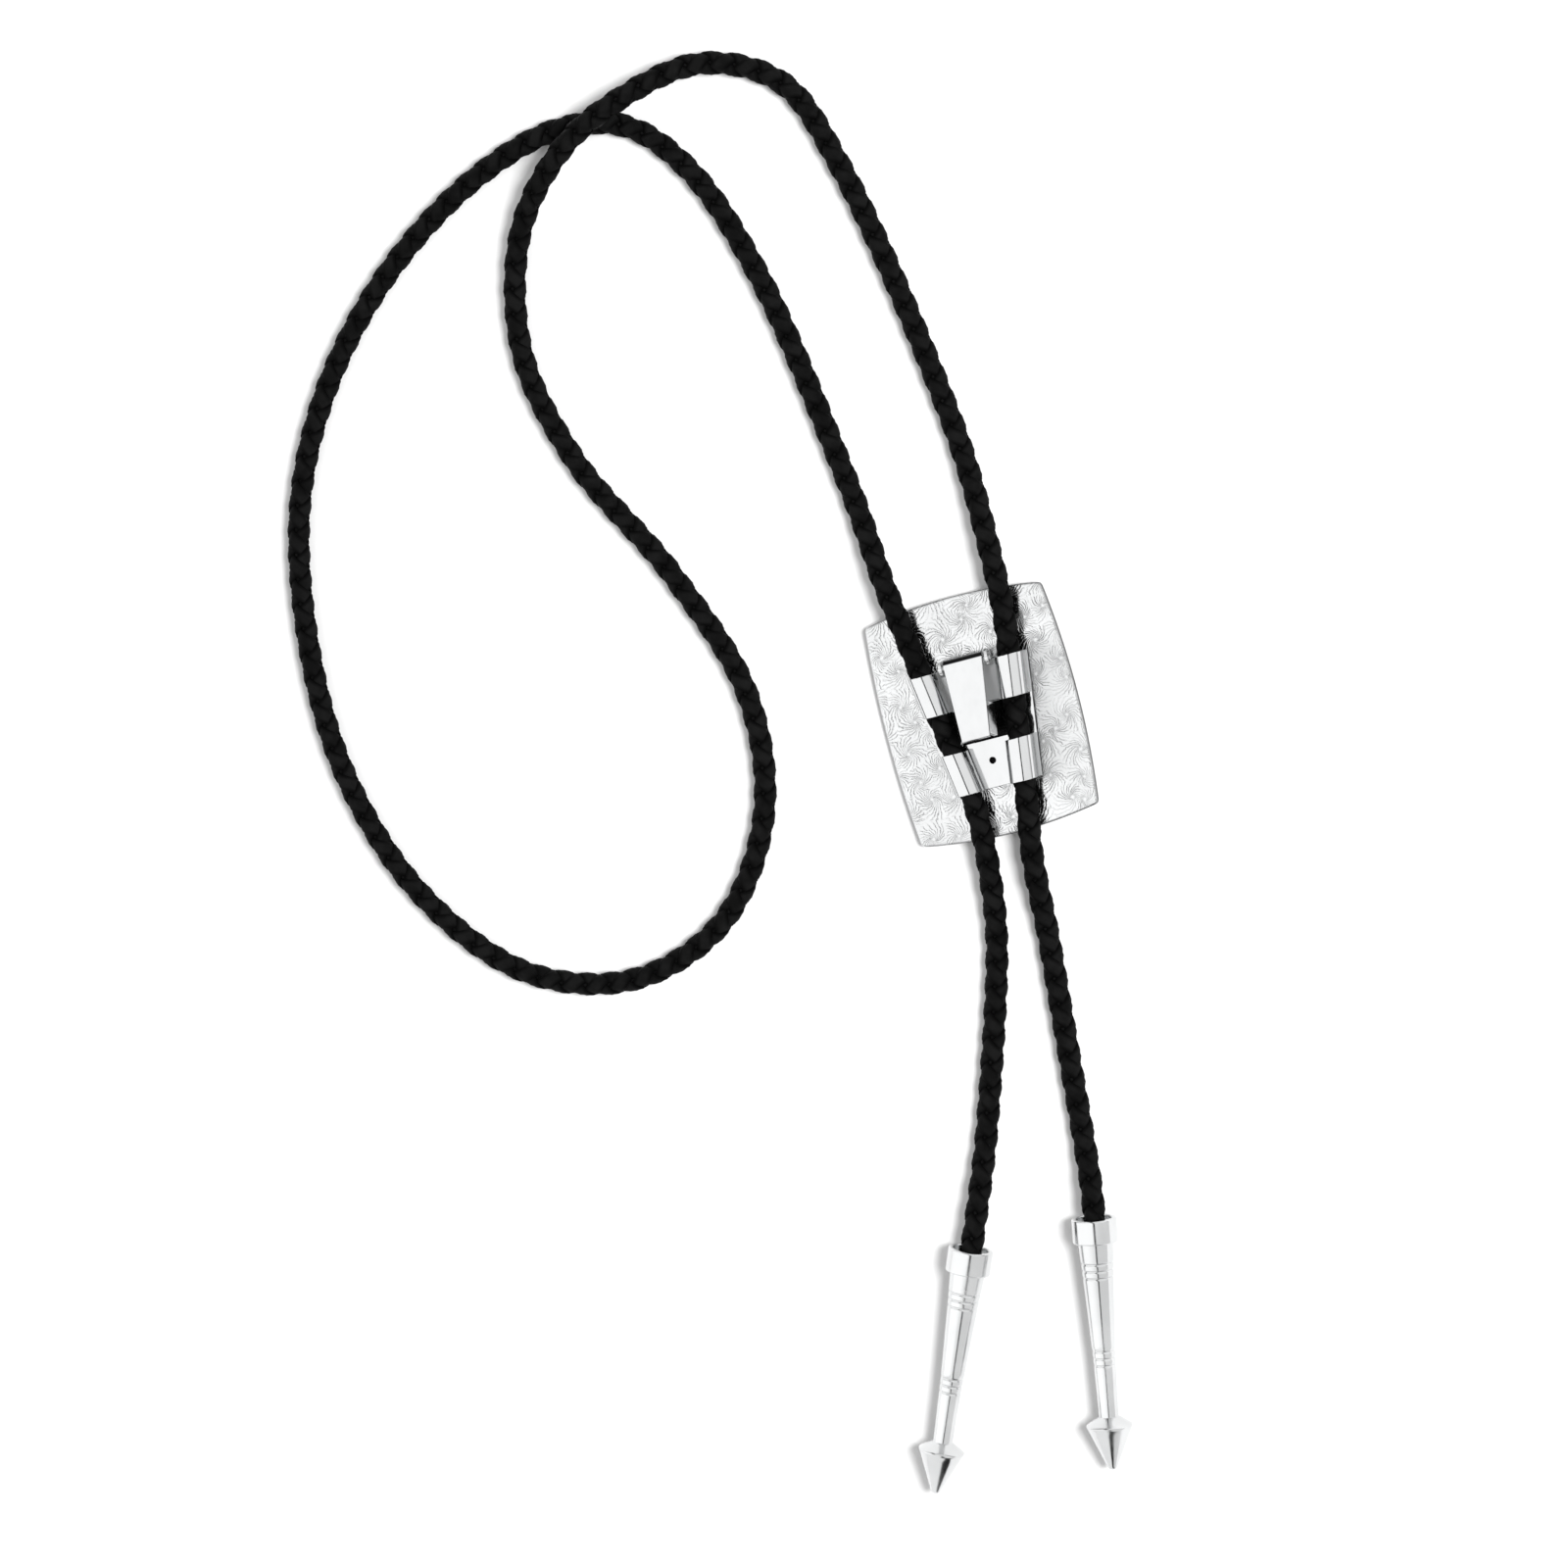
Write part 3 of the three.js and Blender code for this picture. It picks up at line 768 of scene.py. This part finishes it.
def cord(leather):
    points, length = laid_path()
    curve = bpy.data.curves.new("cord_path", "CURVE")
    curve.dimensions = "3D"
    spline = curve.splines.new("POLY")
    spline.points.add(len(points) - 1)
    spline.points.foreach_set("co", np.column_stack([points, np.ones(len(points))]).ravel())
    holder = bpy.data.objects.new("cord_path", curve)
    bpy.context.scene.collection.objects.link(holder)
    modifier = holder.modifiers.new("braid", "NODES")
    modifier.node_group = braid_tree()
    values = {
        "Lay": BRAID_LAY,
        "Circle": BRAID_CIRCLE,
        "Weave": BRAID_WEAVE,
        "Half Thickness": STRAND_HALF_THICKNESS,
        "Half Width": STRAND_HALF_WIDTH,
        "Steps Per Lay": float(POINTS_PER_LAY),
        "Sides": STRAND_SIDES,
        "Leather": leather,
    }
    for socket in modifier.node_group.interface.items_tree:
        if socket.in_out == "INPUT" and socket.name in values:
            modifier[socket.identifier] = values[socket.name]
    bpy.context.view_layer.update()
    mesh = bpy.data.meshes.new_from_object(holder.evaluated_get(bpy.context.evaluated_depsgraph_get()))
    bpy.data.objects.remove(holder)
    mesh.polygons.foreach_set("use_smooth", [True] * len(mesh.polygons))
    made = piece("cord_braid", mesh, leather, "slide", ["cord"])
    return made, points, length


# Plate


def dome_drop(radius):
    return PLATE_DOME_RADIUS - np.sqrt(PLATE_DOME_RADIUS**2 - radius**2)


def plate_rise(x, y):
    """How far the plate has risen from the surface at a point."""
    radius = np.hypot(x, y)
    return np.maximum(dome_drop(radius) - dome_drop(PLATE_FLAT_RADIUS), 0.0)


def plate_point(u, v, inset):
    """A point of the bowed outline's inside, u and v from -1 to 1, its corners drawn round."""
    width = PLATE_WIDTH / 2 - PLATE_SIDE_BULGE - inset
    height = PLATE_HEIGHT / 2 - PLATE_END_BULGE - inset
    corner = PLATE_CORNER_RADIUS - inset
    a = (np.abs(u) - (1 - corner / width)) / (corner / width)
    b = (np.abs(v) - (1 - corner / height)) / (corner / height)
    near = (a > 0) & (b > 0)
    a2 = np.where(near, a * np.sqrt(np.maximum(1 - b**2 / 2, 0)), a)
    b2 = np.where(near, b * np.sqrt(np.maximum(1 - a**2 / 2, 0)), b)
    u = np.sign(u) * ((1 - corner / width) + a2 * corner / width)
    v = np.sign(v) * ((1 - corner / height) + b2 * corner / height)
    x = u * (width + PLATE_SIDE_BULGE * (1 - v**2))
    y = v * (height + PLATE_END_BULGE * (1 - u**2))
    return x, y


def mark_painted_shade(mesh):
    """Marks painted shade on the plate: black under the clip and along the gap above its hinge,
    dark rim walls facing right, up and down as a painted reflection, and a faint painted reflection of
    the clip's shade to its right."""
    places = np.array([tuple(vertex.co) for vertex in mesh.vertices])
    normals = np.array([tuple(vertex.normal) for vertex in mesh.vertices])
    x, y, _ = places.T
    side = tube_spread(y) + TUBE_BORE
    ends = np.minimum(FRAME_TOP - y, y - FRAME_BOTTOM)
    # painted shade: the plate under the clip is painted black
    covered = np.minimum(side - np.abs(x), ends)
    # painted shade: a black line above the lever's hinge curl, where the gap lies in shade
    under_hinge = np.minimum(LEVER_HINGE_WIDTH / 2 - np.abs(x), HINGE_SHADE_TOP - np.abs(y))
    under = np.clip(np.maximum(covered, under_hinge) / (0.5 * MM), 0, 1)
    # painted reflection: the plate to the clip's right is painted darker, fading outwards, for the clip's
    # blurred reflection
    away = x - side
    beside = BESIDE_SHADE * np.clip(1 - away / BESIDE_REACH, 0, 1) ** 1.5 * (away > 0)
    beside *= np.clip(ends / (3 * MM) + 0.7, 0, 1)
    upper = normals[:, 2] > 0.5
    # painted reflection: rim walls facing right, up and down are painted dark, and the left wall is kept
    # bright
    wall = np.clip((0.97 - np.abs(normals[:, 2])) / 0.3, 0, 1) * np.clip(normals[:, 0] * 3 + 1.2, 0, 1)
    mark = mesh.attributes.new("painted_shade", "FLOAT", "POINT")
    mark.data.foreach_set("value", np.maximum(np.maximum(under, beside) * upper, wall * 0.85))


def rim_and_face(edge):
    """Round the plate's edge and in over its face: how far out and down each ring lies, and its share
    of the outline."""
    turns = [math.radians(degrees) for degrees in (0, 30, 60, 90)]
    rings = [(edge * math.sin(turn), -edge * (1 - math.cos(turn)), 1.0) for turn in turns[1:]]
    rings += [(edge * math.cos(turn), -PLATE_THICKNESS + edge * (1 - math.sin(turn)), 1.0) for turn in turns]
    return rings + [(0.0, -PLATE_THICKNESS, share) for share in (0.97, 0.9, 0.75, 0.6, 0.45, 0.3, 0.15)]


def engraved_plate(engraved):
    """The plate: its back as a grid inside a rounded rim, and a plain face."""
    inset = PLATE_EDGE_ROUND
    columns = round(PLATE_WIDTH / PLATE_CELL)
    rows = round(PLATE_HEIGHT / PLATE_CELL)
    v, u = np.meshgrid(np.linspace(-1, 1, rows), np.linspace(-1, 1, columns), indexing="ij")
    x, y = plate_point(u, v, inset)
    z = PLATE_THICKNESS + plate_rise(x, y)
    vertices = [np.stack([x.ravel(), y.ravel(), z.ravel()], 1)]
    index = np.arange(rows * columns).reshape(rows, columns)
    faces = np.stack([index[:-1, :-1], index[:-1, 1:], index[1:, 1:], index[1:, :-1]], -1).reshape(-1, 4)
    faces = [tuple(face) for face in faces.tolist()]
    rim = np.concatenate([index[0, :-1], index[:-1, -1], index[-1, :0:-1], index[:0:-1, 0]])
    edge = vertices[0][rim]
    ahead = np.roll(edge, -1, 0) - np.roll(edge, 1, 0)
    outward = np.stack([ahead[:, 1], -ahead[:, 0]], 1)
    outward /= np.linalg.norm(outward, axis=1, keepdims=True)
    last = rim
    count = rows * columns
    for out, down, share in rim_and_face(inset):
        flat = (edge[:, :2] + outward * out) * share
        rise = plate_rise(flat[:, 0], flat[:, 1]) if share < 1 else plate_rise(edge[:, 0], edge[:, 1])
        level = PLATE_THICKNESS + rise + down
        vertices.append(np.column_stack([flat, level]))
        ring = np.arange(count, count + len(rim))
        count += len(rim)
        following = np.roll(last, -1)
        following_ring = np.roll(ring, -1)
        faces += [tuple(f) for f in np.stack([last, ring, following_ring, following], 1).tolist()]
        last = ring
    vertices.append(np.zeros((1, 3)))
    faces += [(a, count, b) for a, b in zip(last.tolist(), np.roll(last, -1).tolist())]
    mesh = bpy.data.meshes.new("plate")
    mesh.from_pydata(np.concatenate(vertices).tolist(), [], faces)
    mesh.polygons.foreach_set("use_smooth", [True] * len(mesh.polygons))
    cleaned(mesh, 1e-7)
    mark_painted_shade(mesh)
    piece("engraved_plate", mesh, engraved, "slide", ["slide_plate"])


# Clip


def clip_levels():
    """The heights that the clip's parts share, from the frame and the pin where the CAD has them."""
    low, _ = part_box("clip_frame")
    pin_low, pin_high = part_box("hinge_pin")
    frame_z = low.z
    pin = (pin_low + pin_high) / 2
    return frame_z, pin


def tube_spread(y):
    return TUBE_TOP_SPREAD - TUBE_SLOPE * (FRAME_TOP - y)


def rolled_tube(side, bottom, top, frame_z):
    """A rolled tube with rounded lips, leaning with the clip's side."""
    outer = TUBE_BORE + FRAME_SHEET
    lip = FRAME_EDGE
    length = top - bottom
    profile = [
        (TUBE_BORE, lip),
        (TUBE_BORE + lip, 0),
        (outer - lip, 0),
        (outer, lip),
        (outer, length - lip),
        (outer - lip, length),
        (TUBE_BORE + lip, length),
        (TUBE_BORE, length - lip),
    ]
    mesh = turned(profile, 64)
    lean = Matrix(((1, 0, side * TUBE_SLOPE, 0), (0, 0, 1, 0), (0, -1, 0, 0), (0, 0, 0, 1)))
    place = Matrix.Translation((side * tube_spread(bottom), bottom, frame_z + outer))
    mesh.transform(place @ lean)
    return cleaned(mesh)


def frame_outline(ear_outer, ear_top):
    outer = TUBE_BORE + FRAME_SHEET
    low = tube_spread(FRAME_BOTTOM) + outer + STRIP_BEYOND_TUBE
    high = tube_spread(FRAME_TOP) + outer + STRIP_BEYOND_TUBE
    right = [(low, FRAME_BOTTOM), (high, FRAME_TOP), (ear_outer, FRAME_TOP), (ear_outer, ear_top)]
    return right + [(-x, y) for x, y in reversed(right)]


def clip_frame(steel):
    frame_z, pin = clip_levels()
    ear_inner = LEVER_HINGE_WIDTH / 2 + EAR_SIDE_CLEARANCE
    ear_outer = ear_inner + EAR_THICKNESS
    window = [
        (-WINDOW_HALF_WIDTH, WINDOW_BOTTOM),
        (-WINDOW_HALF_WIDTH, WINDOW_TOP),
        (WINDOW_HALF_WIDTH, WINDOW_TOP),
        (WINDOW_HALF_WIDTH, WINDOW_BOTTOM),
    ]
    hole = arc((0, RIVET_HOLE_Y), RIVET_HOLE_RADIUS, 0, -2 * math.pi, 24)[:-1]
    sheet = slab(frame_outline(ear_outer, pin.y + EAR_RADIUS), [window, hole], FRAME_SHEET, FRAME_EDGE)
    sheet.transform(Matrix.Translation((0, 0, frame_z)))
    parts = [sheet]
    for side in (-1, 1):
        parts.append(rolled_tube(side, UPPER_TUBE_END, FRAME_TOP, frame_z))
        parts.append(rolled_tube(side, FRAME_BOTTOM, LOWER_TUBE_START, frame_z))
        parts.append(hinge_ear(side * (ear_inner + EAR_THICKNESS / 2), frame_z, pin))
    mesh = sharpened(joined(parts), 20)
    piece("clip_body", mesh, steel, "slide", ["clip_frame"])


def hinge_ear(x, frame_z, pin):
    """An ear drawn in Y and Z and stood upright, with the pin's hole."""
    outline = [(pin.y - EAR_RADIUS, frame_z), (pin.y + EAR_RADIUS, frame_z)]
    outline += arc((pin.y, pin.z), EAR_RADIUS, 0, math.pi, 20)
    hole = arc((pin.y, pin.z), PIN_RADIUS + PIN_FIT / 4, 0, -2 * math.pi, 24)[:-1]
    ear = slab(outline, [hole], EAR_THICKNESS, FRAME_EDGE)
    ear.transform(Matrix.Translation((x - EAR_THICKNESS / 2, 0, 0)) @ UPRIGHT)
    return cleaned(ear)


def hinge_pin(steel):
    low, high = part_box("hinge_pin")
    length = high.x - low.x
    shares = ((0, 0), (0.6, 0.25), (0.9, 0.7), (1, 1.5))
    profile = [(PIN_RADIUS * out, PIN_DOME * down) for out, down in shares]
    profile += [(radius, length - z) for radius, z in reversed(profile)]
    mesh = turned(profile, 32)
    middle = (low + high) / 2
    mesh.transform(Matrix.Translation((low.x, middle.y, middle.z)) @ UPRIGHT)
    piece("clip_hinge_pin", sharpened(cleaned(mesh)), steel, "slide", ["hinge_pin"])


def lever_path():
    """The bent sheet's middle line in Y and Z, from its free end to the end of its curl."""
    radius = PIN_RADIUS + PIN_FIT + LEVER_SHEET / 2
    points = [(-LEVER_LENGTH + LEVER_LENGTH * i / 12, radius) for i in range(12)]
    return points + arc((0, 0), radius, math.pi / 2, CURL_END, 24)


def lever_sheet():
    """The lever's face and hinge curl as one bent sheet that tapers to its free end."""
    middle = np.array(lever_path())
    ahead = np.gradient(middle, axis=0)
    ahead /= np.linalg.norm(ahead, axis=1, keepdims=True)
    outward = np.column_stack([-ahead[:, 1], ahead[:, 0]])
    share = np.clip(-middle[:, 0] / LEVER_LENGTH, 0, 1)
    half = (LEVER_HINGE_WIDTH + (LEVER_END_WIDTH - LEVER_HINGE_WIDTH) * share) / 2
    vertices = []
    for point, out, width in zip(middle, outward, half):
        for side, face in ((-1, -1), (1, -1), (1, 1), (-1, 1)):
            y, z = point + out * face * LEVER_SHEET / 2
            vertices.append((side * width, y, z))
    faces = [(0, 1, 2, 3)]
    for row in range(len(middle) - 1):
        base = 4 * row
        for k in range(4):
            j = (k + 1) % 4
            faces.append((base + k, base + 4 + k, base + 4 + j, base + j))
    end = 4 * (len(middle) - 1)
    faces.append((end + 3, end + 2, end + 1, end))
    mesh = bpy.data.meshes.new("lever_sheet")
    mesh.from_pydata(vertices, [], faces)
    return bevelled(cleaned(mesh), LEVER_EDGE)


def lever_cam(side):
    """A cam: a strip of the lever's side, bent down and a little outwards."""
    taper = math.atan((LEVER_HINGE_WIDTH - LEVER_END_WIDTH) / 2 / LEVER_LENGTH)
    half_width = LEVER_END_WIDTH / 2 + (CAM_SETBACK + CAM_LENGTH) * math.tan(taper)
    start = -LEVER_LENGTH + CAM_SETBACK + CAM_LENGTH
    top = PIN_RADIUS + PIN_FIT + LEVER_SHEET - 0.04 * MM
    bend = CAM_BEND
    inner_x = -CAM_ROOT
    outer = [(inner_x, top), (-bend, top)]
    outer += arc((-bend, top - bend), bend, math.pi / 2, CAM_SPLAY, 6)[1:]
    foot = (math.sin(CAM_SPLAY) * CAM_DEPTH, -math.cos(CAM_SPLAY) * CAM_DEPTH)
    outer.append((foot[0], top + foot[1]))
    sheet = LEVER_SHEET * 0.96
    inner = [(foot[0] - sheet * math.cos(CAM_SPLAY), top + foot[1] - sheet * math.sin(CAM_SPLAY))]
    inner += [(-bend - sheet * 0.45, top - sheet - bend * 0.3), (inner_x, top - sheet)]
    outline = [(side * x, z) for x, z in outer + inner]
    strip = slab(outline, [], CAM_LENGTH, LEVER_EDGE)
    place = Matrix.Translation((side * half_width, start, 0)) @ Matrix.Rotation(-side * taper, 4, "Z")
    strip.transform(place @ LENGTHWISE)
    return cleaned(strip)


def lever(steel):
    _, pin = clip_levels()
    mesh = sharpened(joined([lever_sheet(), lever_cam(1), lever_cam(-1)]))
    satin = mesh.attributes.new("satin", "FLOAT", "POINT")
    satin.data.foreach_set("value", [float(vertex.normal.z < -0.5) for vertex in mesh.vertices])
    # painted shade: the back of the hinge curl is painted black, for the shaded gap behind the hinge
    painted_shade = mesh.attributes.new("painted_shade", "FLOAT", "POINT")
    painted_shade.data.foreach_set("value", [float(vertex.normal.y > 0.1) for vertex in mesh.vertices])
    mesh.transform(Matrix.Translation(pin) @ Matrix.Rotation(-LEVER_REST_ANGLE, 4, "X"))
    piece("lock_lever", mesh, steel, "lever", ["lever"])


# Tips


def body_radius(s):
    t = (s - COLLAR_LENGTH) / (HEAD_START - COLLAR_LENGTH)
    return BODY_END_RADIUS + (BODY_TOP_RADIUS - BODY_END_RADIUS) * (1 - t) ** BODY_CURVE


def groove_cut(s):
    """How deep the rings are cut at a place along the tip."""
    deepest = 0.0
    for middle in GROOVE_BANDS:
        for i in range(GROOVES_PER_BAND):
            off = abs(s - middle - (i - (GROOVES_PER_BAND - 1) / 2) * GROOVE_PITCH) / (GROOVE_WIDTH / 2)
            if off < 1:
                deepest = max(deepest, GROOVE_DEPTH * (1 + math.cos(math.pi * off)) / 2)
    return deepest


def tip_profile():
    """(radius, distance from the mouth) from the bottom of the socket round to the point."""
    edge = COLLAR_EDGE
    points = [
        (0, SOCKET_DEPTH),
        (SOCKET_RADIUS, SOCKET_DEPTH),
        (SOCKET_RADIUS, MOUTH_DEPTH),
        (MOUTH_RADIUS - 0.15 * MM, MOUTH_DEPTH - 0.1 * MM),
        (MOUTH_RADIUS, MOUTH_DEPTH - 0.4 * MM),
        (MOUTH_RADIUS, 0.15 * MM),
        (MOUTH_RADIUS + 0.15 * MM, 0),
    ]
    points += [(r, s) for s, r in arc((edge, COLLAR_RADIUS - edge), edge, math.pi, math.pi / 2, 4)]
    points += [(r, s) for s, r in arc((COLLAR_LENGTH - edge, COLLAR_RADIUS - edge), edge, math.pi / 2, 0, 4)]
    s = COLLAR_LENGTH + 0.05 * MM
    reach = GROOVES_PER_BAND * GROOVE_PITCH / 2
    bands = [middle + way * reach for middle in GROOVE_BANDS for way in (-1, 1)]
    while s < HEAD_START:
        points.append((body_radius(s) - groove_cut(s), s))
        in_band = bands[0] < s < bands[1] or bands[2] < s < bands[3]
        s += 0.06 * MM if in_band else 0.5 * MM
    shoulder = HEAD_START + HEAD_SLOPE_LENGTH
    points += [
        (BODY_END_RADIUS, HEAD_START),
        (HEAD_RADIUS - 0.35 * MM, shoulder - 0.18 * MM),
        (HEAD_RADIUS - 0.1 * MM, shoulder - 0.02 * MM),
        (HEAD_RADIUS, shoulder + 0.1 * MM),
        (HEAD_RADIUS, shoulder + HEAD_EDGE - 0.1 * MM),
        (HEAD_RADIUS - 0.12 * MM, shoulder + HEAD_EDGE + 0.12 * MM),
    ]
    nose = TIP_LENGTH - NOSE_RADIUS
    cone_start = points[-1]
    cone_end = (NOSE_RADIUS * math.cos(math.radians(20)), nose + NOSE_RADIUS * math.sin(math.radians(20)))
    for i in range(1, 8):
        share = i / 8
        points.append(tuple(a + (b - a) * share for a, b in zip(cone_start, cone_end)))
    points += [(r, s) for s, r in arc((nose, 0), NOSE_RADIUS, math.radians(70), 0, 7)[:-1]]
    points.append((0, TIP_LENGTH))
    return points


def cord_tip(name, silver):
    x, y, heading = TIP_PLACES[name]
    mesh = turned(tip_profile(), TIP_SEGMENTS)
    place = Matrix.Translation((x, y, TIP_AXIS_Z)) @ Matrix.Rotation(-heading, 4, "Z")
    mesh.transform(place @ LENGTHWISE)
    return piece("cord_" + name, sharpened(cleaned(mesh)), silver, "slide", [name])


# Scene

right, up = photo_camera()
leather = braid_leather()
silver = polished_silver()
steel = plated_steel()
braid, path, cord_length = cord(leather)
tips = [cord_tip(name, silver) for name in TIP_PLACES]
engraved_plate(engraved_silver())
clip_frame(steel)
hinge_pin(steel)
lever(steel)
floor()
studio()
key_side = right * KEY_TO_RIGHT + up * KEY_TO_TOP + Vector((0, 0, 1))
soft_light("key", PICTURE_CENTRE, key_side, KEY_DISTANCE, KEY_SIZE, KEY_POWER)
